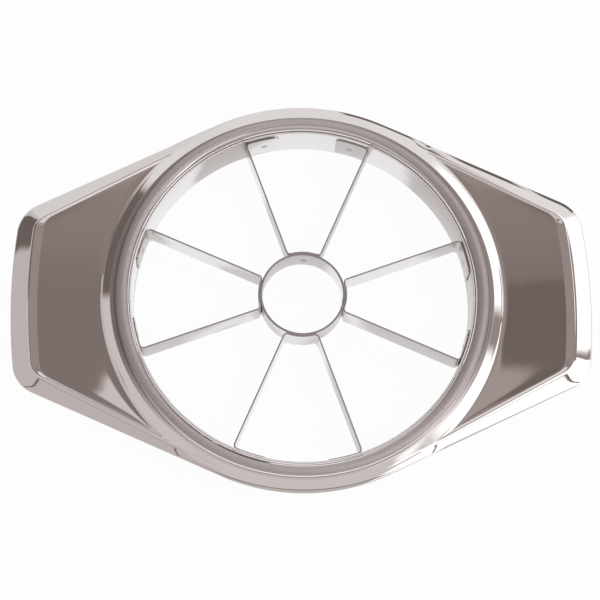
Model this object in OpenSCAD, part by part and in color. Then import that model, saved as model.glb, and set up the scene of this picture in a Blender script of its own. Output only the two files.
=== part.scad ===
// Apple slicer and wedger. A pressed steel frame with a sunk grip on each side holds a round
// band. Four folded blade strips and a core ring sit in the band and cut the fruit into
// eight wedges and a core.
// Millimetres, +Z up. The origin is the ring's centre, level with the band's lower edge, on
// which the slicer stands. The blades' cutting edges point down.

/* [Frame outline] */
// Length over both handles
frame_length = 170.8; // [164:0.1:178]
// Width of the flange in plan at the front and the back
rim_flange_w = 1.9; // [1.5:0.05:2.5]
// Slant of the handles' side edges to the long axis, in degrees
side_slant = 24.9; // [24:0.1:26]
// Radius of the handles' four corners
corner_r = 10; // [8:0.25:11]
// Radius of the slight bow in the handles' end edges
end_bow_r = 180; // [120:5:300]

/* [Pressed sheet] */
// Thickness of the frame's sheet
sheet_t = 0.9; // [0.7:0.05:1]
// Height of the sheet at the foot of the bead, above the band's lower edge
skirt_z = 12.65; // [12.3:0.05:12.8]
// Slope of the skirt round the bead at the front and the back, in degrees
skirt_slope = 13; // [8:0.5:16]
// Slope of the handles' turned-down flange, in degrees
flange_slope = 24; // [16:0.5:30]
// Angle round the ring in which the flange flattens out past the tip of a dish
fade_angle = 7; // [4:0.5:10]
// Width of the flange in plan at the handles' ends
end_flange_w = 5.4; // [4.5:0.1:6]
// Width of the skirt in plan at the front and the back, from the bead to the flange
rim_skirt_w = 1.85; // [1.5:0.05:2.2]
// Extra slant of the crease over that of the side edge, in degrees
crease_extra_slant = 2.9; // [1:0.1:3.5]
// Radius of the crease at the handles' corners
crease_corner_r = 6; // [5:0.1:7]

/* [Grip dishes] */
// Depth of the dishes' floors below the crease
dish_depth = 0.4; // [0.3:0.02:0.44]
// Width in plan of the wall along each dish's sides and at the ring
dish_wall_w = 1.3; // [1.25:0.05:1.8]
// Width in plan of the gentler slope at the dish's outer end
dish_end_w = 2.4; // [1.3:0.1:3.5]
// Width of the ridge between the crease and a dish's wall
ridge_w = 0.4; // [0.3:0.1:0.8]
// Width of the skirt between the bead and a dish, on the long axis
skirt_w = 3; // [2.2:0.1:3.4]

/* [Bead] */
// Outer radius of the bead rolled round the opening
bead_r = 2.05; // [1.8:0.05:2.3]
// Radius of the groove at the foot of the bead
groove_r = 0.5; // [0.4:0.05:0.7]
// How far the bead's lip reaches down outside the band
lip_h = 4; // [3:0.1:6]

/* [Band] */
// Radius of the round opening, inside the band
opening_r = 50; // [49:0.1:50.4]
// Thickness of the band
band_t = 0.6; // [0.5:0.05:0.8]
// Height of the band
band_h = 12.9; // [12.6:0.1:13.4]
// Gap all round between the band and the frame's lip
band_fit = 0.05; // [0.05:0.01:0.1]

/* [Blades] */
// Thickness of the blade strips
strip_t = 0.5; // [0.4:0.05:0.8]
// Height of the blade strips
strip_h = 10; // [8:0.1:11]
// Height of the strips' upper edges above the band's lower edge
blade_top_z = 11.4; // [11.2:0.1:12]
// Angle between the two blades of one strip, in degrees
strip_spread = 43.4; // [40:0.2:48]
// Turn of the whole blade set about the ring's axis, in degrees
blade_set_turn = -2.7; // [-6:0.1:6]
// Bend radius of the strips, at the middle of their thickness
strip_bend_r = 1.2; // [0.8:0.1:2]
// Length of the feet, from the blade's middle to the free end
foot_length = 10.2; // [7:0.1:12]
// Radius of the upper corner at each foot's free end
foot_corner_r = 1.6; // [1:0.1:2.5]
// Height of the bevel ground on the cutting edges
bevel_h = 1.8; // [1:0.1:2.5]
// Width left at the cutting edges
edge_t = 0.1; // [0.05:0.05:0.2]

/* [Core ring] */
// Radius of the hole that the core passes through
core_r = 11.85; // [9:0.05:14]
// Thickness of the core ring
core_t = 0.7; // [0.5:0.05:1]
// Height of the core ring's cutting edge above those of the blades
core_rise = 0.2; // [0:0.1:1]
// Gap between the core ring and the strips that wrap it
core_fit = 0.01; // [0.01:0.01:0.05]

/* [Spot welds] */
// Diameter of the weld marks
weld_d = 2.2; // [1.6:0.1:3]
// How far a weld mark stands out of its sheet
weld_proud = 0.12; // [0.1:0.01:0.2]

/* [Hidden] */
$fn = 120;
steel = "silver";
strip_count = 4;
wall_steps = 3;                        // facets across a dish's wall
bead_steps = 8;                        // facets round the bead
groove_steps = 2;                      // facets round the groove at the bead's foot
bend_steps = 5;                        // facets round a strip's bend
foot_steps = 6;                        // facets along a strip's foot
wrap_steps = 12;                       // facets of a strip's turn round the core ring
corner_steps = 4;                      // facets round a foot's corner
skew = 0.01;                           // least gap between neighbouring lines of the frame's mesh
over = 1;                              // how far a cutting shape runs past what it cuts

// ---- bead, in the section [radius, height] ----
lip_r = opening_r + band_t + band_fit;
bead_centre = [lip_r + bead_r, band_h];
groove_z = skirt_z + groove_r;
groove_drop = groove_z - bead_centre.y;
bead_foot_r = bead_centre.x + sqrt(pow(bead_r + groove_r, 2) - pow(groove_drop, 2));
bead_end_angle = atan2(groove_drop, bead_foot_r - bead_centre.x);

// ---- outlines ----
// An outline is [radius of its round stretch, side slant, half length, end bow, corner radius].
// At the front and the back, the skirt and the flange are one cone, with no crease.
crease_r = bead_foot_r + rim_skirt_w;
rim_r = crease_r + rim_flange_w;
ridge_z = skirt_z - tan(skirt_slope) * rim_skirt_w;
edge_line = [rim_r, side_slant, frame_length / 2, end_bow_r, corner_r];
crease_line = [crease_r, side_slant + crease_extra_slant,
               frame_length / 2 - end_flange_w, end_bow_r - end_flange_w, crease_corner_r];
dish_mouth_line = inset(crease_line, ridge_w);
dish_floor_line = [dish_mouth_line[0] - dish_wall_w, dish_mouth_line[1], dish_mouth_line[2] - dish_end_w,
                   dish_mouth_line[3] - dish_end_w, dish_mouth_line[4] - dish_wall_w];
dish_ring_r = bead_foot_r + skirt_w;
dish_tip = 90 - dish_mouth_line[1] - acos(dish_mouth_line[0] / dish_ring_r);
dish_fold_r = (pow(dish_wall_w, 2) + pow(dish_depth, 2)) / (4 * dish_depth);

function inset(line, by) = [line[0] - by, line[1], line[2] - by, line[3] - by, line[4] - by];
function normal(line) = [sin(line[1]), cos(line[1])];
function along(line) = [cos(line[1]), -sin(line[1])];
function end_centre(line) = [line[2] - line[3], 0];
function corner_centre(line) =
    let (start = (line[0] - line[4]) * normal(line),
         gap = start - end_centre(line),
         back = gap * along(line))
    start + (sqrt(back * back - gap * gap + pow(line[3] - line[4], 2)) - back) * along(line);
function azimuth(p) = atan2(p.y, p.x);
function side_end(line) = azimuth(corner_centre(line) + line[4] * normal(line));
function corner_end(line) =
    let (e = end_centre(line))
    azimuth(e + (corner_centre(line) - e) * line[3] / (line[3] - line[4]));

// Distance from the ring's axis to an outline, along a ray at angle a in the first quarter
function ray(line, a) =
    a >= 90 - line[1] ? line[0] :
    a >= side_end(line) ? line[0] / cos(90 - line[1] - a) :
    a >= corner_end(line) ? ray_to_circle(corner_centre(line), line[4], a) :
    ray_to_circle(end_centre(line), line[3], a);
function ray_to_circle(centre, r, a) =
    let (d = centre * polar(1, a)) d + sqrt(d * d - centre * centre + r * r);

// How far a point of the first quarter lies outside an outline
function outside(line, p) =
    let (k = corner_centre(line), e = end_centre(line))
    azimuth(p) >= 90 - line[1] ? norm(p) - line[0] :
    p * along(line) <= k * along(line) ? p * normal(line) - line[0] :
    azimuth(p - k) >= azimuth(k - e) ? norm(p - k) - line[4] :
    norm(p - e) - line[3];

// ---- the frame's sheet: a section that changes round the ring ----
function steps(from, to, n) = [for (i = [0 : n - 1]) from + (to - from) * i / n];
quarter = concat(steps(0, corner_end(crease_line), 4),
                 steps(corner_end(crease_line), side_end(edge_line), 6),
                 steps(side_end(edge_line), dish_tip, 7),
                 steps(dish_tip, dish_tip + fade_angle, 2),
                 steps(dish_tip + fade_angle, 90, 7));
rays = [for (q = [0 : 3], i = [0 : len(quarter) - 1])
    q % 2 == 0 ? 90 * q + quarter[i] : 90 * (q + 1) - (i == 0 ? 90 : quarter[len(quarter) - i])];
function folded(a) = atan2(abs(sin(a)), abs(cos(a)));

// Drop below the crease at a fraction s of a dish's wall: two equal arcs that meet half way
function wall_drop(s) =
    s < 0.5 ? dish_fold_r - sqrt(pow(dish_fold_r, 2) - pow(s * dish_wall_w, 2))
            : dish_depth - wall_drop(1 - s);

// Radii at which a ray meets the two walls of a dish, from the handle's end inwards, with drops.
// Towards the dish's pointed ends the two walls meet before they reach the floor.
function dish(a) =
    let (outer = ray(dish_mouth_line, a),
         slant_w = outer - ray(dish_floor_line, a),
         gap = outer - dish_ring_r,
         part = max(0, min(1, (gap - 2 * skew) / (slant_w + dish_wall_w))),
         middle = outer - gap / 2,
         from = max(outer, middle),
         to = min(dish_ring_r, middle),
         last = 2 * wall_steps + 1)
    [for (i = [0 : last])
        let (s = (i <= wall_steps ? i : last - i) / wall_steps * part)
        [(i <= wall_steps ? from - slant_w * s : to + dish_wall_w * s) + skew * (last / 2 - i),
         ridge_z - wall_drop(s)]];

function polar(r, a) = r * [cos(a), sin(a)];
function arc(centre, r, from, to, n, first = 0) =
    [for (i = [first : n]) centre + polar(r, from + (to - from) * i / n)];

// Fall of the flange for each millimetre of its width. It flattens from a dish's tip on.
function flange_fall(a) =
    let (part = max(0, min(1, (a - dish_tip) / fade_angle)))
    tan(flange_slope) * (1 - part) + tan(skirt_slope) * part;

// Upper face of the sheet along a ray, from the outer edge over the bead to the lip's end
function upper_face(a) =
    let (edge = ray(edge_line, a),
         crease = ray(crease_line, a),
         grip = dish(a),
         last = len(grip) + 1,
         least = min(skew, (crease - bead_foot_r) / last))
    concat([[edge, ridge_z - flange_fall(a) * outside(crease_line, polar(edge, a))],
            [crease, ridge_z]],
           [for (i = [0 : last - 2])
               [max(bead_foot_r + least * (last - 1 - i), min(crease - least * (i + 1), grip[i].x)),
                grip[i].y]],
           arc([bead_foot_r, groove_z], groove_r, 270, 180 + bead_end_angle, groove_steps),
           arc(bead_centre, bead_r, bead_end_angle, 180, bead_steps, first = 1),
           [[lip_r, band_h - lip_h]]);

// The sheet's lower face: the upper one moved by t square to itself
function unit(v) = v / norm(v);
function square_to(p, q) = let (d = unit(q - p)) [d.y, -d.x];
function lower_face(line, t) =
    let (last = len(line) - 1)
    [for (i = [0 : last])
        let (before = square_to(line[max(i - 1, 0)], line[max(i, 1)]),
             after = square_to(line[min(i, last - 1)], line[min(i + 1, last)]))
        line[i] - t * (before + after) / (1 + before * after)];

// Triangles between each section's ring of points and the next
function skin(sections, size, count) =
    [for (i = [0 : sections - 1], j = [0 : size - 1])
        let (here = i * size, next = (i + 1) % count * size, k = (j + 1) % size)
        each [[here + j, here + k, next + k], [here + j, next + k, next + j]]];

module frame() color(steel) {
    sections = [for (a = rays)
        let (upper = upper_face(folded(a)), lower = lower_face(upper, sheet_t))
        concat(upper, [for (i = [len(lower) - 1 : -1 : 0]) lower[i]])];
    size = len(sections[0]);
    polyhedron(points = [for (i = [0 : len(rays) - 1], p = sections[i])
                   [p.x * cos(rays[i]), p.x * sin(rays[i]), p.y]],
               faces = skin(len(rays), size, len(rays)));
}

module blade_band() color(steel)
    rotate_extrude() translate([opening_r, 0]) square([band_t, band_h]);

// ---- strips and core ring ----
foot_r = opening_r - strip_t / 2;
wrap_r = core_r + core_t + core_fit + strip_t / 2;
blade_angle = strip_spread / 2;
foot_angle = foot_length / foot_r * 180 / PI;
free_end = blade_angle - foot_angle;
corner_angle = foot_corner_r / foot_r * 180 / PI;
outer_bend = foot_r - strip_bend_r;
inner_bend = wrap_r + strip_bend_r;
foot_end = blade_angle - asin(strip_bend_r / outer_bend);
wrap_end = blade_angle - asin(strip_bend_r / inner_bend);

// Section of sheet steel whose lower edge is ground from both sides, as [across, height]
function ground_section(t, low, top) =
    [[-t / 2, top], [-t / 2, low + bevel_h], [-edge_t / 2, low],
     [edge_t / 2, low], [t / 2, low + bevel_h], [t / 2, top]];

module core_ring() color(steel)
    rotate_extrude() translate([core_r + core_t / 2, 0])
        polygon(ground_section(core_t, blade_top_z - strip_h + core_rise, blade_top_z));

// A strip's middle line is a list of [x, y, angle that its outer side faces, top edge's height].
function place(p, facing, top = blade_top_z) = [p.x, p.y, facing, top];
function turn(centre, r, from, to, n, first = 0, last = 0, facing = 0) =
    [for (i = [first : n - last])
        let (a = from + (to - from) * i / n) place(centre + polar(r, a), a + facing)];
free_corner = [for (i = [0 : corner_steps - 1])
    let (a = 90 * i / corner_steps, at = free_end + corner_angle * (1 - cos(a)))
    place(polar(foot_r, at), at, blade_top_z - foot_corner_r * (1 - sin(a)))];
half_strip = concat(
    free_corner,
    turn([0, 0], foot_r, free_end + corner_angle, foot_end, foot_steps),
    turn(polar(outer_bend, foot_end), strip_bend_r, foot_end, blade_angle + 90, bend_steps, first = 1),
    turn(polar(inner_bend, wrap_end), strip_bend_r, blade_angle + 90, wrap_end + 180, bend_steps));
strip_line = concat(
    half_strip,
    turn([0, 0], wrap_r, wrap_end, -wrap_end, wrap_steps, first = 1, last = 1, facing = 180),
    [for (i = [len(half_strip) - 1 : -1 : 0])
        let (p = half_strip[i]) place([p.x, -p.y], -p[2], p[3])]);

module blade_strip(i) color(steel) {
    count = len(strip_line);
    size = len(ground_section(strip_t, 0, strip_h));
    rotate([0, 0, blade_set_turn + i * 360 / strip_count])
        polyhedron(points = [for (p = strip_line, q = ground_section(strip_t, blade_top_z - strip_h, p[3]))
                       [p.x + q.x * cos(p[2]), p.y + q.x * sin(p[2]), q.y]],
                   faces = concat(skin(count - 1, size, count),
                                  [[for (j = [0 : size - 1]) size - 1 - j],
                                   [for (j = [0 : size - 1]) (count - 1) * size + j]]));
}

// Raised mark of a spot weld on the inner face of a wall of radius r
module weld(r) {
    intersection() {
        translate([0, 0, blade_top_z - strip_h / 2]) rotate([0, 90, 0])
            cylinder(h = r + over, d = weld_d, $fn = 32);
        difference() {
            cylinder(h = blade_top_z, r = r);
            translate([0, 0, -over]) cylinder(h = blade_top_z + 2 * over, r = r - weld_proud);
        }
    }
}

// The marks stand on the flats of the strips' faceted feet.
module foot_welds() color(steel) {
    flat = (foot_end - free_end - corner_angle) / foot_steps;
    for (i = [0 : strip_count - 1], side = [-1, 1])
        rotate([0, 0, blade_set_turn + i * 360 / strip_count + side * (free_end + foot_end) / 2])
            weld((opening_r - strip_t) * cos(flat / 2));
}

module core_welds() color(steel)
    for (i = [0 : strip_count - 1])
        rotate([0, 0, blade_set_turn + i * 360 / strip_count]) weld(core_r);

frame();
blade_band();
core_ring();
blade_strip(0);  // blade_strip_right
blade_strip(1);  // blade_strip_back
blade_strip(2);  // blade_strip_left
blade_strip(3);  // blade_strip_front
foot_welds();
core_welds();
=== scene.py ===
import math

import bpy
import numpy as np
from mathutils import Matrix, Vector


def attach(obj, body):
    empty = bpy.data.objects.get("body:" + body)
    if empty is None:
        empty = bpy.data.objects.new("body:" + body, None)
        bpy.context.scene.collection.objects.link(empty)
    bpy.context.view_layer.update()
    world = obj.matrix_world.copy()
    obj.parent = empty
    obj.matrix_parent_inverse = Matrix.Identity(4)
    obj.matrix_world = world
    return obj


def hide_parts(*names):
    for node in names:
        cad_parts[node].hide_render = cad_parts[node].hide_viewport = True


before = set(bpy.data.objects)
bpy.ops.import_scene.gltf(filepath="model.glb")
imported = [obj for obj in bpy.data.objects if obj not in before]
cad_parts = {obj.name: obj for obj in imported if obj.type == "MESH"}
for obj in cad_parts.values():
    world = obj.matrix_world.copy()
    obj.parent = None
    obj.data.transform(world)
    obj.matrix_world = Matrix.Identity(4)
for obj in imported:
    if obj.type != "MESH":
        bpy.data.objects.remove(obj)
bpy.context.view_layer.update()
print("packed frame loaded")

# Degrees and metres. Found by fitting the photograph's circles; the origin is the ring's centre.
camera = dict(lens=95.06, sensor=36, distance=0.46167, tilt=16.657, turn=-6.648, roll=5.937,
              aim=(-0.000859, -0.002311, 0.01287), nearest=0.01, farthest=20)


def placeCamera():
    tilt, turn, roll = (math.radians(camera[angle]) for angle in ("tilt", "turn", "roll"))
    back = Vector((math.sin(turn) * math.sin(tilt), -math.cos(turn) * math.sin(tilt), math.cos(tilt)))
    level = Vector((math.cos(turn), math.sin(turn), 0))
    upright = back.cross(level)
    right = level * math.cos(roll) + upright * math.sin(roll)
    up = upright * math.cos(roll) - level * math.sin(roll)
    data = bpy.data.cameras.new("photoCamera")
    data.lens, data.sensor_width = camera["lens"], camera["sensor"]
    data.clip_start, data.clip_end = camera["nearest"], camera["farthest"]
    eye = bpy.data.objects.new("photoCamera", data)
    turned = Matrix((right, up, back)).transposed().to_4x4()
    eye.matrix_world = Matrix.Translation(Vector(camera["aim"]) + back * camera["distance"]) @ turned
    bpy.context.scene.collection.objects.link(eye)
    bpy.context.scene.camera = eye


placeCamera()
print("camera placed")


class Wire:
    # wraps an output socket, so that node maths is written as plain maths
    def __init__(self, tree, socket=None):
        self.tree, self.socket = tree, socket

    def node(self, kind, settings=None, values=None, out=0):
        # settings go on the node first; values are numbers or wires, by socket name or number
        made = self.tree.nodes.new(kind)
        for name, value in (settings or {}).items():
            setattr(made, name, value)
        for name, value in (values or {}).items():
            if isinstance(value, Wire):
                self.tree.links.new(value.socket, made.inputs[name])
            else:
                made.inputs[name].default_value = value
        return Wire(self.tree, made.outputs[out] if made.outputs else None)

    def maths(self, operation, *others, reflected=False):
        # this wire is the first value, or the last in a reflected form such as 1 - mask
        values = (*others, self) if reflected else (self, *others)
        return self.node("ShaderNodeMath", {"operation": operation}, dict(enumerate(values)))

    def __add__(self, other): return self.maths("ADD", other)
    def __radd__(self, other): return self.maths("ADD", other, reflected=True)
    def __sub__(self, other): return self.maths("SUBTRACT", other)
    def __rsub__(self, other): return self.maths("SUBTRACT", other, reflected=True)
    def __mul__(self, other): return self.maths("MULTIPLY", other)
    def __rmul__(self, other): return self.maths("MULTIPLY", other, reflected=True)
    def __truediv__(self, other): return self.maths("DIVIDE", other)
    def __rtruediv__(self, other): return self.maths("DIVIDE", other, reflected=True)

    def ramped(self, low, high, bottom=0.0, top=1.0):
        # eased step from bottom at low to top at high
        return self.node("ShaderNodeMapRange", {"interpolation_type": "SMOOTHSTEP"},
                         {"Value": self, "From Min": low, "From Max": high, "To Min": bottom, "To Max": top})

    def mixed(self, first, second):
        # first where this mask is 0 and second where it is 1; each is a colour or a wire
        first, second = (c if isinstance(c, Wire) else (*c, 1) for c in (first, second))
        return self.node("ShaderNodeMix", {"data_type": "RGBA"}, {0: self, 6: first, 7: second}, out=2)

    def noise(self, scale, detail):
        return self.node("ShaderNodeTexNoise", None, {"Vector": self, "Scale": scale, "Detail": detail})

    def along(self, axes):
        # this vector's share along each axis that is named
        return [self.node("ShaderNodeSeparateXYZ", None, {0: self}, out=axis) for axis in axes]


def startMaterial(name):
    material = bpy.data.materials.new(name)
    material.use_nodes = True
    material.node_tree.nodes.clear()
    return material, Wire(material.node_tree)


def metalShader(wire, colour, roughness, normal):
    shader = wire.node("ShaderNodeBsdfPrincipled", None,
                       {"Base Color": colour, "Metallic": 1.0, "Roughness": roughness, "Normal": normal})
    wire.node("ShaderNodeOutputMaterial", None, {"Surface": shader})


# Mirror polish: a faint smear, fine unevenness and the polishing wheel's hair lines, long one way.
polish = dict(colour=(0.80, 0.765, 0.755), roughness=0.02,
              smear=0.012, smearScale=55.0, smearRange=(0.35, 0.75), smearDepth=0.02,
              fine=0.008, fineScale=900.0, hairTurn=0.5, hairScale=(60, 2600, 600), hairDepth=0.00048,
              bump=0.25, bumpDistance=0.001)
# Small handling marks: the hearts of the cells that a slow noise picks.
mark = dict(colour=(0.95, 0.94, 0.94), strength=0.35, roughness=0.2, depth=0.02,
            cellScale=330.0, heart=(0.04, 0.10), pickScale=150.0, picked=(0.66, 0.72))
# The rolled bead, by its distance in metres from the ring's axis: mirror bright as far as a painted dark
# line (a painted reflection), then satin up to its top in a darker tone that is painted reflection, then
# painted shade down its outer flank to the foot, but not on the front stretch. Towards the frame's two
# ends the line and the foot shift, and the satin is painted darker there, as painted shade.
beadFinishAndShading = dict(colour=(0.56, 0.51, 0.495), shadedSideShare=0.78, roughness=0.5, paintedShade=(0.30, 0.26, 0.25),
                  paintedLine=0.0519, paintedLineShift=-0.0009, paintedLineWidth=0.0002, paintedLineSoft=0.00016, paintedLineStrength=0.7,
                  top=0.0539, foot=0.0551, footShift=0.0010, soft=0.00018, front=(-0.95, -0.2))


def polishedSheet():
    material, wire = startMaterial("polishedSheet")
    spot = wire.node("ShaderNodeTexCoord", out="Object")
    x, y = spot.along("XY")
    squared = x * x + y * y
    radius = squared.maths("SQRT")
    smear = spot.noise(polish["smearScale"], 3.0)
    fine = spot.noise(polish["fineScale"], 2.0)
    combed = wire.node("ShaderNodeMapping", None,
                       {"Vector": spot, "Rotation": (0, 0, polish["hairTurn"]), "Scale": polish["hairScale"]})
    hair = combed.noise(1.0, 3.0)
    cells = wire.node("ShaderNodeTexVoronoi", None, {"Vector": spot, "Scale": mark["cellScale"]},
                      out="Distance")
    picked = spot.noise(mark["pickScale"], 0.0).ramped(*mark["picked"])
    speck = cells.ramped(*mark["heart"], 1.0, 0.0) * picked

    bead = beadFinishAndShading
    sideways = x * x / squared      # 1 at the frame's two ends, 0 at its front and back
    paintedLineAt = sideways * bead["paintedLineShift"] + bead["paintedLine"]
    footAt = sideways * bead["footShift"] + bead["foot"]

    def beyond(distance, soft=bead["soft"]):
        return (radius - distance).ramped(-soft, soft)

    crown = beyond(paintedLineAt) * (1 - beyond(bead["top"] + bead["soft"], 2 * bead["soft"]))
    # painted shade down the bead's outer flank to the foot, left off on the front stretch
    paintedFlankShade = beyond(bead["top"], 3 * bead["soft"]) * (1 - beyond(footAt))
    paintedFlankShade = paintedFlankShade * (y / radius).ramped(*bead["front"])
    # a painted dark line round the bead, standing in for a dark reflection band
    paintedLine = (radius - paintedLineAt).maths("ABSOLUTE").ramped(bead["paintedLineWidth"], bead["paintedLineWidth"] - bead["paintedLineSoft"])
    satin = (crown + paintedFlankShade).maths("MINIMUM", 1.0)

    dull = smear.ramped(*polish["smearRange"], 0.0, polish["smear"]) + fine * polish["fine"]
    dull = dull + speck * mark["roughness"] + polish["roughness"]
    rough = dull * (1 - satin) + satin * bead["roughness"]
    height = smear * polish["smearDepth"] + hair * polish["hairDepth"] + speck * mark["depth"]
    bump = wire.node("ShaderNodeBump", None, {"Height": height, "Strength": polish["bump"],
                                              "Distance": polish["bumpDistance"]})
    # the satin's darker colour is painted reflection, painted darker still towards the two ends as painted
    # shade
    crownPaintedTone = sideways.mixed(bead["colour"], [c * bead["shadedSideShare"] for c in bead["colour"]])
    tone = crown.mixed(polish["colour"], crownPaintedTone)
    tone = (paintedFlankShade + paintedLine * bead["paintedLineStrength"]).maths("MINIMUM", 1.0).mixed(tone, bead["paintedShade"])
    tone = (speck * mark["strength"]).mixed(tone, mark["colour"])
    metalShader(wire, tone, rough, bump)
    return material


# Cold-rolled strip has fine lines along its length and cloudy stains. What the three finishes share:
# how far the lines and the clouds change the roughness, and where the clouds turn to the dark tone. Near
# the core and near the feet, by distance in metres from the ring's axis, there can be painted shade,
# darker where the blades meet the core ring and the band.
rolling = dict(lineDetail=3.0, cloudScale=48.0, cloudDetail=1.5, noiseRange=(0.3, 0.7),
               lineRoughness=(-0.03, 0.03), cloudRoughness=(-0.03, 0.05), darkRange=(0.42, 0.66),
               nearCore=(0.0134, 0.0170), nearFeet=(0.036, 0.048), waveMiddle=0.3, bumpDistance=0.0002)
# Each finish: its clean colour and the darker tone that stains, and on band and blades also painted shade,
# reach, how fine the grain is along x, y and z, and a slow wave of painted light and shade, in radians for
# each metre across and forward. Above cutAbove, in metres, is the sheared upper edge, painted in a tone of
# its own (a painted highlight on the band, painted shade on the blades), with cutRoughness more roughness.
bandFinishAndShading = dict(colour=(0.80, 0.775, 0.79), darkTone=(0.47, 0.425, 0.415), roughness=0.15,
                  grain=(90, 90, 3000), grainDepth=0.05, paintedCoreShade=0, paintedFootShade=0,
                  shadeWave=dict(across=98, forward=0, shift=3.54, strength=0.42),
                  cut=(0.95, 0.93, 0.925), cutAbove=0.0128, cutSoft=0.00008, cutRoughness=0.4)
bladeFinishAndShading = dict(colour=(0.80, 0.78, 0.785), darkTone=(0.56, 0.53, 0.525), roughness=0.22,
                   grain=(150, 150, 4200), grainDepth=0.07, paintedCoreShade=0.24, paintedFootShade=0.3,
                   shadeWave=dict(across=105, forward=-84, shift=3.66, strength=0.24),
                   cut=(0.44, 0.41, 0.405), cutAbove=0.0113, cutSoft=0.00008, cutRoughness=0)
weldFinish = dict(colour=(0.50, 0.47, 0.465), darkTone=(0.36, 0.33, 0.32), roughness=0.34,
                  grain=(900, 900, 900), grainDepth=0.3)


def rolledStrip(name, finishAndShading):
    material, wire = startMaterial(name)
    spot = wire.node("ShaderNodeTexCoord", out="Object")
    x, y, height = spot.along("XYZ")
    combed = wire.node("ShaderNodeMapping", None, {"Vector": spot, "Scale": finishAndShading["grain"]})
    lines = combed.noise(1.0, rolling["lineDetail"])
    stainAndShade = spot.noise(rolling["cloudScale"], rolling["cloudDetail"])
    if "shadeWave" in finishAndShading:
        shadeWave = finishAndShading["shadeWave"]
        # a slow wave of painted light and shade across the strip
        turned = (x * shadeWave["across"] + y * shadeWave["forward"] + shadeWave["shift"]).maths("SINE")
        radius = (x * x + y * y).maths("SQRT")
        # painted shade near the core ring and near the band, where the blades meet them
        shadeNearEnds = (radius.ramped(*rolling["nearCore"], finishAndShading["paintedCoreShade"], 0)
                    + radius.ramped(*rolling["nearFeet"], 0, finishAndShading["paintedFootShade"]))
        stainAndShade = stainAndShade + (turned - rolling["waveMiddle"]) * shadeWave["strength"] + shadeNearEnds
    tone = stainAndShade.ramped(*rolling["darkRange"]).mixed(finishAndShading["colour"], finishAndShading["darkTone"])
    rough = (lines.ramped(*rolling["noiseRange"], *rolling["lineRoughness"])
             + stainAndShade.ramped(*rolling["noiseRange"], *rolling["cloudRoughness"]) + finishAndShading["roughness"])
    if "cut" in finishAndShading:
        # the upper edge's tone is painted: a painted highlight on the band, painted shade on the blades
        onTopEdge = height.ramped(finishAndShading["cutAbove"], finishAndShading["cutAbove"] + finishAndShading["cutSoft"])
        rough = rough + onTopEdge * finishAndShading["cutRoughness"]
        tone = onTopEdge.mixed(tone, finishAndShading["cut"])
    bump = wire.node("ShaderNodeBump", None, {"Height": lines, "Strength": finishAndShading["grainDepth"],
                                              "Distance": rolling["bumpDistance"]})
    metalShader(wire, tone, rough, bump)
    return material


finishes = {"polished_sheet": polishedSheet(), "band_steel": rolledStrip("bandSteel", bandFinishAndShading),
            "blade_steel": rolledStrip("bladeSteel", bladeFinishAndShading),
            "weld_steel": rolledStrip("weldSteel", weldFinish)}
print("steel finishes made")

mm = 0.001


def addPiece(name, points, faces, slot, node, sharpFrom):
    # points in millimetres; an edge that bends by more than sharpFrom degrees stays sharp
    mesh = bpy.data.meshes.new(name)
    mesh.from_pydata([tuple(p) for p in np.asarray(points) * mm], [], faces)
    mesh.validate()
    mesh.materials.append(finishes[slot])
    mesh.update()
    piece = bpy.data.objects.new(name, mesh)
    bpy.context.scene.collection.objects.link(piece)
    for polygon in mesh.polygons:
        polygon.use_smooth = True
    mesh.set_sharp_from_angle(angle=math.radians(sharpFrom))
    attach(piece, "root")
    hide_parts(node)


def wovenFaces(rows, columns, closedRows=True):
    # quads between neighbouring rows; each row is a closed loop of as many points
    lastRow = rows if closedRows else rows - 1
    return [(i * columns + j, i * columns + (j + 1) % columns,
             (i + 1) % rows * columns + (j + 1) % columns, (i + 1) % rows * columns + j)
            for i in range(lastRow) for j in range(columns)]


def rounded(corners, radii, steps=4):
    # closed outline with its corners rounded: corners are in order, one radius for each
    out = []
    for i, (corner, r) in enumerate(zip(corners, radii)):
        p, a, b = (np.array(q, float) for q in (corner, corners[i - 1], corners[(i + 1) % len(corners)]))
        u, v = (a - p) / np.linalg.norm(a - p), (b - p) / np.linalg.norm(b - p)
        half = math.acos(u @ v) / 2
        centre = p + (u + v) / np.linalg.norm(u + v) * r / math.sin(half)
        start, end = p + u * r / math.tan(half) - centre, p + v * r / math.tan(half) - centre
        turn = math.acos(start @ end / r / r)
        for t in (k / steps for k in range(steps + 1)):
            out.append(centre + (start * math.sin((1 - t) * turn) + end * math.sin(t * turn)) / math.sin(turn))
    return np.array(out)


def turnedBy(x, y, angle):
    return x * math.cos(angle) - y * math.sin(angle), x * math.sin(angle) + y * math.cos(angle)


# The round band that carries the blades, in millimetres. The pressed sheet is sized from it.
band = dict(inner=50.0, thickness=0.6, height=12.9, lowerRound=0.12, upperRound=0.2, rays=256)

# The pressed sheet in millimetres and degrees. The crease runs inside the outer edge, and the grips are
# sunk inside the crease. Their walls are narrower and their floors 0.1 higher than in the part's
# source, and only here is the outer edge slightly rolled.
sheet = dict(length=170.8, rim=59.0, slant=24.9, corner=10.0, endBow=180.0, thickness=0.9,
             edgeRound=0.3, edgeFullness=0.97, roll=1.7, rollDrop=0.16,                 # outer edge
             crease=57.1, creaseSlant=27.8, creaseCorner=6.0, creaseRound=0.45, endFlange=5.4,
             flangeSlope=24.0, skirtSlope=13.0, fade=7.0, skirt=3.0, skirtRound=0.12, skirtLimit=0.6,
             ridge=0.4, wall=0.75, wallBend=0.5, endWall=2.4, endWallBend=0.15,         # grips
             dishDepth=0.2, dishBlend=0.03, tail=2.4, tailDepth=0.1,
             skirtHeight=12.65, groove=0.5, bead=2.05, lip=3.8, bandGap=0.05)           # bead
# How many rays go round it, the points that a ray has on each stretch, and how close these may be.
sheetSteps = dict(rays=720, edge=6, flange=5, crease=9, wall=11, tail=7, floor=13, skirt=11,
                  groove=6, bead=30, edgeRound=8, leastGap=0.012)


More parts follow.
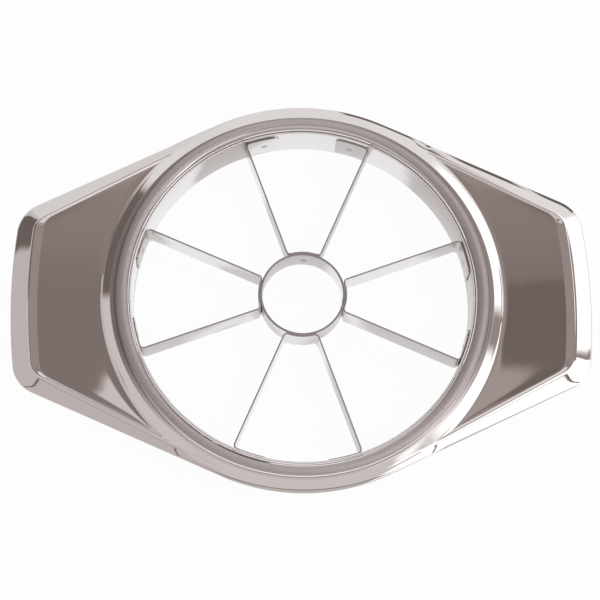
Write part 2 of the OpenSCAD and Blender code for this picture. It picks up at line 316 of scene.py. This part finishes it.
class Outline:
    # a round stretch about the ring, a straight side, a corner and a bowed end, in one quarter
    def __init__(self, radius, slant, half, bow, corner):
        self.radius, self.slant, self.half, self.bow, self.corner = radius, slant, half, bow, corner
        self.facing = np.array([math.sin(slant), math.cos(slant)])
        self.along = np.array([math.cos(slant), -math.sin(slant)])
        self.endCentre = np.array([half - bow, 0.0])
        start = (radius - corner) * self.facing
        gap = start - self.endCentre
        back = gap @ self.along
        reach = math.sqrt(back * back - gap @ gap + (bow - corner) ** 2) - back
        self.cornerCentre = start + reach * self.along
        lean = self.cornerCentre - self.endCentre
        self.cornerFrom = math.atan2(lean[1], lean[0])

    def inset(self, side, end):
        return Outline(self.radius - side, self.slant, self.half - end, self.bow - end, self.corner - side)

    def ray(self, angle):
        # distance of the outline from the ring's axis, for angles in the first quarter
        heading = np.array([math.cos(angle), math.sin(angle)])

        def toCircle(centre, r):
            return centre @ heading + math.sqrt((centre @ heading) ** 2 - centre @ centre + r * r)

        if angle >= math.pi / 2 - self.slant:
            return self.radius
        straight = self.radius / (heading @ self.facing)
        if straight * heading @ self.along <= self.cornerCentre @ self.along:
            return straight
        onEnd = toCircle(self.endCentre, self.bow)
        fromEnd = onEnd * heading - self.endCentre
        if math.atan2(fromEnd[1], fromEnd[0]) <= self.cornerFrom:
            return onEnd
        return toCircle(self.cornerCentre, self.corner)

    def beyond(self, x, y):
        # how far points lie outside the outline
        x, y = np.abs(x), np.abs(y)
        cx, cy = self.cornerCentre
        onSide = x * self.facing[0] + y * self.facing[1] - self.radius
        onCorner = np.hypot(x - cx, y - cy) - self.corner
        onEnd = np.hypot(x - self.endCentre[0], y) - self.bow
        pastSide = x * self.along[0] + y * self.along[1] > self.cornerCentre @ self.along
        pastCorner = np.arctan2(y - cy, x - cx) < self.cornerFrom
        return np.where(np.arctan2(y, x) >= math.pi / 2 - self.slant, np.hypot(x, y) - self.radius,
                        np.where(~pastSide, onSide, np.where(pastCorner, onEnd, onCorner)))


lipRadius = band["inner"] + band["thickness"] + sheet["bandGap"]
beadCentre = np.array([lipRadius + sheet["bead"], band["height"]])
grooveRise = sheet["skirtHeight"] + sheet["groove"] - beadCentre[1]
beadFoot = beadCentre[0] + math.sqrt((sheet["bead"] + sheet["groove"]) ** 2 - grooveRise ** 2)
beadEnd = math.atan2(grooveRise, beadFoot - beadCentre[0])
skirtFall, flangeFall = (math.tan(math.radians(sheet[slope])) for slope in ("skirtSlope", "flangeSlope"))
ridgeHeight = sheet["skirtHeight"] - skirtFall * (sheet["crease"] - beadFoot)
edgeLine = Outline(sheet["rim"], math.radians(sheet["slant"]), sheet["length"] / 2, sheet["endBow"],
                   sheet["corner"])
creaseLine = Outline(sheet["crease"], math.radians(sheet["creaseSlant"]),
                     sheet["length"] / 2 - sheet["endFlange"], sheet["endBow"] - sheet["endFlange"],
                     sheet["creaseCorner"])
mouthLine = creaseLine.inset(sheet["ridge"], sheet["ridge"])
floorLine = mouthLine.inset(sheet["wall"], sheet["endWall"])
dishRing = beadFoot + sheet["skirt"]
dishTip = math.pi / 2 - mouthLine.slant - math.acos(mouthLine.radius / dishRing)


def easedRamp(d, w):
    # 0 below -w and d above w, with a round bend between
    return np.where(d < -w, 0, np.where(d > w, d, (d + w) ** 2 / (4 * w)))


def softMin(a, b, k):
    # the lesser of a and b, blended where they are less than k apart
    h = np.clip(0.5 + 0.5 * (b - a) / k, 0, 1)
    return b * (1 - h) + a * h - k * h * (1 - h)


def wallDrop(inward, width):
    # a grip's wall, inward from its mouth: a bend, an even slope if the wall is wide, and a bend back,
    # all on a slow curve that runs out on the floor
    s = np.clip(inward / width, 0, 1)
    widened = (width - sheet["wall"]) / (sheet["endWall"] - sheet["wall"])
    bend = sheet["wallBend"] - (sheet["wallBend"] - sheet["endWallBend"]) * widened
    bend = np.clip(bend, sheet["endWallBend"], sheet["wallBend"])
    down = np.where(s < bend, s * s / (2 * bend * (1 - bend)), (s - bend / 2) / (1 - bend))
    down = np.where(s > 1 - bend, 1 - (1 - s) ** 2 / (2 * bend * (1 - bend)), down)
    left = 1 - np.clip(inward / (width + sheet["tail"]), 0, 1)
    return sheet["dishDepth"] * down + sheet["tailDepth"] * (1 - left * left)


def sheetHeight(x, y):
    # upper face of the sheet outside the bead
    x, y = np.abs(x), np.abs(y)
    r, angle = np.hypot(x, y), np.arctan2(y, x)
    # past the crease: a steep flange at the ends, fading into one that carries on the skirt's slope
    part = np.clip((angle - dishTip) / math.radians(sheet["fade"]), 0, 1)
    part = part * part * (3 - 2 * part)
    fall = flangeFall * (1 - part) + skirtFall * part
    pastCrease = creaseLine.beyond(x, y)
    z = ridgeHeight - fall * easedRamp(pastCrease, sheet["creaseRound"])
    # the skirt, up from the grip or the crease to the bead's foot
    turned = np.minimum(np.maximum(0, math.pi / 2 - creaseLine.slant - angle), 1.2)   # under a quarter turn
    skirtEnd = np.minimum(dishRing, creaseLine.radius / np.cos(turned))
    rise = easedRamp((skirtEnd - r) / (skirtEnd - beadFoot), sheet["skirtRound"])
    z = z + (sheet["skirtHeight"] - ridgeHeight) * rise * (pastCrease < sheet["skirtLimit"])
    # the grip, with one wall along its mouth and one round the ring
    inward = -mouthLine.beyond(x, y)
    width = np.maximum(sheet["wall"], inward + np.maximum(0, floorLine.beyond(x, y)))
    dish = softMin(wallDrop(inward, width), wallDrop(r - dishRing, sheet["wall"]), sheet["dishBlend"])
    roll = np.clip(1 + edgeLine.beyond(x, y) / sheet["roll"], 0, 1)
    return z - np.maximum(0, dish) - sheet["rollDrop"] * roll ** 2


def sheetNormal(x, y, e=0.02):
    # from the slopes between points that are 2 e apart
    sx = (sheetHeight(x + e, y) - sheetHeight(x - e, y)) / (2 * e)
    sy = (sheetHeight(x, y + e) - sheetHeight(x, y - e)) / (2 * e)
    n = np.stack([-sx, -sy, np.ones_like(sx)], -1)
    return n / np.linalg.norm(n, axis=-1, keepdims=True)


def inFirstQuarter(angle):
    return math.atan2(abs(math.sin(angle)), abs(math.cos(angle)))


def radialStops(angle):
    # radii along a ray where the sheet's upper face gets a point, from the edge in to the bead's foot
    edge, crease, mouth, floor = (line.ray(inFirstQuarter(angle))
                                  for line in (edgeLine, creaseLine, mouthLine, floorLine))
    # outside the grip: the rolled edge, the flange and, close together, the crease's bend
    rollEnd, bend = edge - sheet["roll"], sheet["creaseRound"]
    stops = [*np.linspace(edge - sheet["edgeRound"], rollEnd - 0.1, sheetSteps["edge"]),
             *np.linspace(rollEnd - 0.2, crease + 2 * bend, sheetSteps["flange"]),
             *np.linspace(crease + 1.6 * bend, crease - 1.2 * bend, sheetSteps["crease"])]
    # across the grip and up the skirt; each stretch starts where the last one ended
    middle = (mouth + dishRing) / 2
    ends = [max(mouth, middle), max(floor, middle), max(floor - sheet["tail"], middle),
            min(dishRing + sheet["wall"] + sheet["tail"], middle), min(dishRing + sheet["wall"], middle),
            min(dishRing, middle), beadFoot]
    stops.append(ends[0])
    for start, end, stretch in zip(ends, ends[1:], ("wall", "tail", "floor", "tail", "wall", "skirt")):
        stops += [*np.linspace(start, end, sheetSteps[stretch] + 1)[1:]]
    # keep the radii in order where the grip is gone and its stops crowd together
    stops, order = np.array(stops), np.arange(len(stops))
    low = beadFoot + order[::-1] * sheetSteps["leastGap"]
    high = edge - sheet["edgeRound"] - order * sheetSteps["leastGap"]
    stops = np.minimum(np.maximum(stops, low), high)
    return np.minimum.accumulate(stops - order * 1e-5)      # so that no two are equal


def makeSheet():
    angles = np.arange(sheetSteps["rays"]) * 2 * math.pi / sheetSteps["rays"]
    cosA, sinA = np.cos(angles)[:, None], np.sin(angles)[:, None]
    radii = np.array([radialStops(a) for a in angles])
    x, y = radii * cosA, radii * sinA

    # the groove at the bead's foot, the bead and its lip are the same all round: (radius, height)
    profile, profileNormal = [], []
    grooveCentre = np.array([beadFoot, sheet["skirtHeight"] + sheet["groove"]])
    for centre, r, start, end, steps, side in (
            (grooveCentre, sheet["groove"], math.radians(270), math.pi + beadEnd, sheetSteps["groove"], -1),
            (beadCentre, sheet["bead"], beadEnd, math.pi, sheetSteps["bead"], 1)):
        for k in range(1, steps + 1):
            a = start + (end - start) * k / steps
            out = np.array([math.cos(a), math.sin(a)])
            profile.append(centre + r * out)
            profileNormal.append(side * out)
    for share in (0.5, 1.0):
        profile.append([lipRadius, beadCentre[1] - share * sheet["lip"]])
        profileNormal.append([-1.0, 0.0])

    def allRound(rows):
        rows = np.array(rows)
        return np.stack([rows[:, 0] * cosA, rows[:, 0] * sinA, rows[:, 1] + 0 * cosA], -1)

    top = np.concatenate([np.stack([x, y, sheetHeight(x, y)], -1), allRound(profile)], 1)
    normal = np.concatenate([sheetNormal(x, y), allRound(profileNormal)], 1)
    under = (top - sheet["thickness"] * normal)[:, ::-1]
    # the outer edge, rounded from the lower face to the upper one
    first, last, n = top[:, :1], under[:, -1:], normal[:, :1]
    out = np.cross(np.cross(n, np.concatenate([cosA, sinA, 0 * cosA], 1)[:, None]), n)
    out /= np.linalg.norm(out, axis=-1, keepdims=True)
    edge = np.array([edgeLine.ray(inFirstQuarter(a)) for a in angles])[:, None, None]
    reach = (edge - np.hypot(first[..., :1], first[..., 1:2])) * sheet["edgeFullness"]
    bulge = [last + (first - last) * (0.5 - 0.5 * math.cos(a)) + out * reach * math.sin(a)
             for a in np.linspace(0, math.pi, sheetSteps["edgeRound"] + 1)[1:-1]]
    skin = np.concatenate([top, under] + bulge, 1)
    rows, columns = skin.shape[:2]
    addPiece("pressedSheet", skin.reshape(-1, 3), wovenFaces(rows, columns), "polished_sheet", "frame",
             sharpFrom=50)


makeSheet()
print("pressed sheet made")

# Core ring and folded blade strips, in millimetres and degrees. Both stop at the same height, and the
# ring's cutting edge is higher than the blades' by its rise. A foot's upper corner is rounded, and
# over the last stretch, as long as deburred, the sheet thins to endShare.
core = dict(inner=11.85, thickness=0.7, rise=0.2, bevel=1.8, edge=0.1, rays=160)
blade = dict(thickness=0.5, height=10.0, top=11.4, bevel=1.8, edge=0.1, spread=43.4, turn=-2.7, bend=1.2,
             foot=10.2, footCorner=1.6, cornerDepth=2.5, deburred=0.25, endShare=0.55, coreGap=0.01)
groundRound = dict(edge=0.02, shoulder=0.15, top=0.14)
stripSteps = dict(foot=40, bend=14, straight=24, wrap=40)


def makeHoop(name, outline, slot, node, rays):
    # an outline of (radius, height) points, turned all round
    angles = np.arange(rays) * 2 * math.pi / rays
    points = [(r * math.cos(a), r * math.sin(a), z) for a in angles for r, z in outline]
    addPiece(name, points, wovenFaces(rays, len(outline)), slot, node, sharpFrom=40)


def groundSection(piece, low):
    # sheet steel whose lower edge is ground from both sides, as (across, height)
    tip, side, shoulder = piece["edge"] / 2, piece["thickness"] / 2, low + piece["bevel"]
    corners = [(tip, low), (side, shoulder), (side, blade["top"]),
               (-side, blade["top"]), (-side, shoulder), (-tip, low)]
    order = ("edge", "shoulder", "top", "top", "shoulder", "edge")
    return rounded(corners, [groundRound[corner] for corner in order], steps=3)


inner, outer = band["inner"], band["inner"] + band["thickness"]
bandOutline = rounded([(outer, 0), (outer, band["height"]), (inner, band["height"]), (inner, 0)],
                      [band["lowerRound"], band["upperRound"], band["upperRound"], band["lowerRound"]])
makeHoop("bladeBand", bandOutline, "band_steel", "blade_band", band["rays"])
coreSection = groundSection(core, blade["top"] - blade["height"] + core["rise"])
makeHoop("coreRing", coreSection + np.array([core["inner"] + core["thickness"] / 2, 0]), "blade_steel",
         "core_ring", core["rays"])
print("band and core ring made")

footRadius = inner - blade["thickness"] / 2
wrapRadius = core["inner"] + core["thickness"] + blade["coreGap"] + blade["thickness"] / 2
bladeAngle = math.radians(blade["spread"] / 2)
freeEnd = bladeAngle - blade["foot"] / footRadius
outerBend, innerBend = footRadius - blade["bend"], wrapRadius + blade["bend"]
footEnd = bladeAngle - math.asin(blade["bend"] / outerBend)
wrapEnd = bladeAngle - math.asin(blade["bend"] / innerBend)


def arcPoints(centre, r, start, end, steps, facing=0.0):
    # points of the strip's middle line: x, y and the way its outer side faces
    return [(centre[0] + r * math.cos(a), centre[1] + r * math.sin(a), a + facing)
            for a in (start + (end - start) * k / steps for k in range(steps + 1))]


def halfStrip():
    # from the free end along the foot, in along the blade and up to the turn round the core ring
    across = bladeAngle + math.pi / 2
    line = arcPoints((0, 0), footRadius, freeEnd, footEnd, stripSteps["foot"])
    line += arcPoints(turnedBy(outerBend, 0, footEnd), blade["bend"], footEnd, across, stripSteps["bend"])[1:]
    inward = arcPoints(turnedBy(innerBend, 0, wrapEnd), blade["bend"], across, wrapEnd + math.pi,
                       stripSteps["bend"])
    (x, y, facing), (endX, endY, _), count = line[-1], inward[0], stripSteps["straight"]
    line += [(x + (endX - x) * k / count, y + (endY - y) * k / count, facing) for k in range(1, count)]
    return line + inward


def makeStrip(name, node, turn):
    half = halfStrip()
    wrap = arcPoints((0, 0), wrapRadius, wrapEnd, -wrapEnd, stripSteps["wrap"], math.pi)[1:-1]
    line = half + wrap + [(x, -y, -facing) for x, y, facing in reversed(half)]
    # distance from the nearer free end, for the feet's rounded upper corners and deburred ends
    run = np.cumsum([0.0] + [math.dist(a[:2], b[:2]) for a, b in zip(line, line[1:])])
    run = np.minimum(run, run[-1] - run)
    section, r = groundSection(blade, blade["top"] - blade["height"]), blade["footCorner"]
    points = []
    for (x, y, facing), s in zip(line, run):
        drop = r - math.sqrt(max(0, r * r - (r - s) ** 2)) if s < r else 0
        thin = min(1, blade["endShare"] + s / blade["deburred"])
        for across, height in section:
            away = across * thin
            place = turnedBy(x + away * math.cos(facing), y + away * math.sin(facing), turn)
            lowered = drop if height > blade["top"] - blade["cornerDepth"] else 0
            points.append((*place, height - lowered))
    columns = len(section)
    faces = wovenFaces(len(line), columns, closedRows=False)
    faces += [tuple(range(columns))[::-1], tuple((len(line) - 1) * columns + j for j in range(columns))]
    addPiece(name, points, faces, "blade_steel", node, sharpFrom=35)


turns = [math.radians(blade["turn"] + i * 90) for i in range(4)]
for side, turn in zip(("right", "back", "left", "front"), turns):
    makeStrip("bladeStrip_" + side, "blade_strip_" + side, turn)
print("blade strips made")

# Spot-weld marks, in millimetres: flattened buttons with a raised rim and a shallow dip in the middle.
weld = dict(radius=1.1, proud=0.12, sunk=0.05, flatness=6, dip=0.28, rimSpread=1.15, rings=7, spokes=28)


def makeWelds(name, node, places):
    # closed buttons whose backs are sunk into a wall's inner face: each place is its radius and turn
    points, faces = [], []
    rings, spokes = weld["rings"], weld["spokes"]
    for r, turn in places:
        first = len(points)
        for k in range(rings + 1):
            s = k / rings
            rim = 1 - weld["dip"] + weld["dip"] * math.sin(math.pi * min(1, s * weld["rimSpread"]))
            dome = weld["proud"] * (1 - s ** weld["flatness"]) * rim - weld["sunk"] * (k == rings)
            for j in range(spokes if k else 1):
                a = 2 * math.pi * j / spokes
                across, up = weld["radius"] * s * math.cos(a), weld["radius"] * s * math.sin(a)
                depth = math.sqrt(r * r - across * across) - dome
                points.append((*turnedBy(depth, across, turn), blade["top"] - blade["height"] / 2 + up))
        faces += [(first, first + 1 + (j + 1) % spokes, first + 1 + j) for j in range(spokes)]
        faces += [tuple(first + 1 + q for q in face[::-1])
                  for face in wovenFaces(rings, spokes, closedRows=False)]
        back = first + 1 + (rings - 1) * spokes
        faces.append(tuple(back + j for j in range(spokes)))
    addPiece(name, points, faces, "weld_steel", node, sharpFrom=60)


footMiddle = (freeEnd + footEnd) / 2
makeWelds("footWelds", "foot_welds", [(inner - blade["thickness"], turn + side * footMiddle)
                                      for turn in turns for side in (-1, 1)])
makeWelds("coreWelds", "core_welds", [(core["inner"], turn) for turn in turns])
print("weld marks made")

# In metres. It glows white for the camera and in reflections, but for a small share of paper, which
# takes the shadow.
floorPaper = dict(half=4.0, level=-0.0002, tone=0.9, white=0.96)


def makeFloor():
    s, z = floorPaper["half"], floorPaper["level"]
    mesh = bpy.data.meshes.new("studioFloor")
    mesh.from_pydata([(-s, -s, z), (s, -s, z), (s, s, z), (-s, s, z)], [], [(0, 1, 2, 3)])
    floor = bpy.data.objects.new("studioFloor", mesh)
    bpy.context.scene.collection.objects.link(floor)
    material, wire = startMaterial("studioFloor")
    direct, mirrored, through = (wire.node("ShaderNodeLightPath", out=ray)
                                 for ray in ("Is Camera Ray", "Is Glossy Ray", "Is Transmission Ray"))
    seen = direct.maths("MAXIMUM", mirrored).maths("MAXIMUM", through)
    paper = wire.node("ShaderNodeBsdfDiffuse", None, {"Color": (*[floorPaper["tone"]] * 3, 1)})
    glow = wire.node("ShaderNodeEmission", None, {"Color": (1, 1, 1, 1), "Strength": 1.0})
    surface = wire.node("ShaderNodeMixShader", None, {0: seen * floorPaper["white"], 1: paper, 2: glow})
    wire.node("ShaderNodeOutputMaterial", None, {"Surface": surface})
    mesh.materials.append(material)


# Soft boxes and dark screens round the object. Each takes in a range of directions: from, to and the
# softness of its borders along x, y and z. Later ones stand in front of earlier ones.
lights = dict(
    front=dict(level=0.60, z=(0.3, None, 0.2)),
    overhead=dict(level=0.70, y=(-0.12, None, 0.06), z=(0.5, None, 0.2)),
    overheadRight=dict(level=0.82, x=(0.04, None, 0.05), y=(-0.12, None, 0.06), z=(0.5, None, 0.2)),
    frontMiddle=dict(level=0.70, x=(-0.25, 0.4, 0.05), y=(-0.37, -0.1, 0.03), z=(0.8, None, 0.05)),
    lampRight=dict(level=0.43, x=(0.08, 0.25, 0.01), y=(0.15, 0.28, 0.02), z=(0.8, None, 0.05)),
    back=dict(level=0.88, y=(0.49, None, 0.02), z=(0.0, None, 0.1)),
    backLeft=dict(level=0.80, x=(None, -0.2, 0.05), y=(0.6, None, 0.05), z=(0.0, None, 0.1)),
    backRight=dict(level=0.92, x=(0.22, None, 0.05), y=(0.46, None, 0.03), z=(0.0, None, 0.1)),
    left=dict(level=0.62, x=(None, -0.55, 0.05), z=(0.2, None, 0.1)),
    ceilingGap=dict(level=0.245, x=(-0.3, 0.3, 0.02), y=(0.24, 0.49, 0.003), z=(0.45, None, 0.15)),
    gapBack=dict(level=0.30, x=(-0.3, 0.3, 0.02), y=(0.31, 0.49, 0.03), z=(0.45, None, 0.15)),
    gapFrontLeft=dict(level=0.245, x=(-0.3, -0.09, 0.004), y=(0.12, 0.3, 0.02), z=(0.45, None, 0.15)),
    gapMiddle=dict(level=0.36, x=(-0.07, 0.14, 0.015), y=(0.25, 0.45, 0.01), z=(0.45, None, 0.15)),
    gapFront=dict(level=0.18, x=(0.14, 0.3, 0.015), y=(0.242, 0.29, 0.003), z=(0.45, None, 0.15)),
    gapLeft=dict(level=0.17, x=(-0.52, -0.24, 0.03), y=(0.285, 0.49, 0.012), z=(0.45, None, 0.15)),
    gapRight=dict(level=0.36, x=(0.21, 0.30, 0.02), y=(0.1, 0.49, 0.02), z=(0.45, None, 0.15)),
    screenLeft=dict(level=0.17, x=(-1.2, -0.5, 0.02), y=(0.367, 0.69, 0.008), z=(0.2, 0.62, 0.03)),
    right=dict(level=1.45, x=(0.30, None, 0.02), y=(-0.6, 0.6, 0.05), z=(0.12, None, 0.08)),
    screenRight=dict(level=0.36, x=(0.28, 0.6, 0.03), y=(0.165, 0.25, 0.02), z=(0.8, None, 0.03)),
    screenEdge=dict(level=0.30, x=(0.45, 0.8, 0.02), y=(0.1, 0.36, 0.02), z=(0.5, 0.85, 0.03)),
    screenEnd=dict(level=0.35, x=(0.7, 1.2, 0.03), y=(0.15, 0.18, 0.008), z=(0.3, 0.7, 0.03)),
    screenBack=dict(level=0.15, x=(0.402, 0.4416, 0.004), y=(0.6, 1.2, 0.05), z=(-0.3, 0.285, 0.02)),
    screenBackMiddle=dict(level=0.15, x=(0.17, 0.38, 0.01), y=(0.6, 1.2, 0.05), z=(-0.3, 0.54, 0.03)),
    screenBackEnd=dict(level=0.15, x=(0.452, 0.7, 0.004), y=(0.6, 1.2, 0.05), z=(-0.3, 0.285, 0.02)),
    bar=dict(level=0.22, y=(-0.425, -0.39, 0.006), z=(0.5, None, 0.05)),
)
# The room between them, and the warmer tint that light has where it is dim.
room = dict(level=0.42, bright=(1.0, 0.985, 0.99), dim=(1.0, 0.83, 0.775), tintRange=(0.2, 0.9))


def makeWorld():
    world = bpy.data.worlds.new("studioRoom")
    world.use_nodes = True
    world.node_tree.nodes.clear()
    bpy.context.scene.world = world
    wire = Wire(world.node_tree)
    along = dict(zip("xyz", wire.node("ShaderNodeTexCoord", out="Generated").along("XYZ")))
    level = room["level"]
    for card in lights.values():
        borders = []
        for axis in "xyz":
            low, high, soft = card.get(axis, (None, None, 0))
            if low is not None:
                borders.append(along[axis].ramped(low - soft, low + soft))
            if high is not None:
                borders.append(along[axis].ramped(high + soft, high - soft))
        inside = math.prod(borders[1:], start=borders[0])
        level = inside * card["level"] + (1 - inside) * level
    tint = level.ramped(*room["tintRange"]).mixed(room["dim"], room["bright"])
    glow = wire.node("ShaderNodeBackground", None, {"Color": tint, "Strength": level})
    white = wire.node("ShaderNodeBackground", None, {"Color": (1, 1, 1, 1), "Strength": 1.0})
    seen = wire.node("ShaderNodeLightPath", out="Is Camera Ray")
    sky = wire.node("ShaderNodeMixShader", None, {0: seen, 1: glow, 2: white})
    wire.node("ShaderNodeOutputWorld", None, {"Surface": sky})


makeFloor()
makeWorld()
bpy.context.scene.view_settings.view_transform = "Standard"
print("floor and light set")
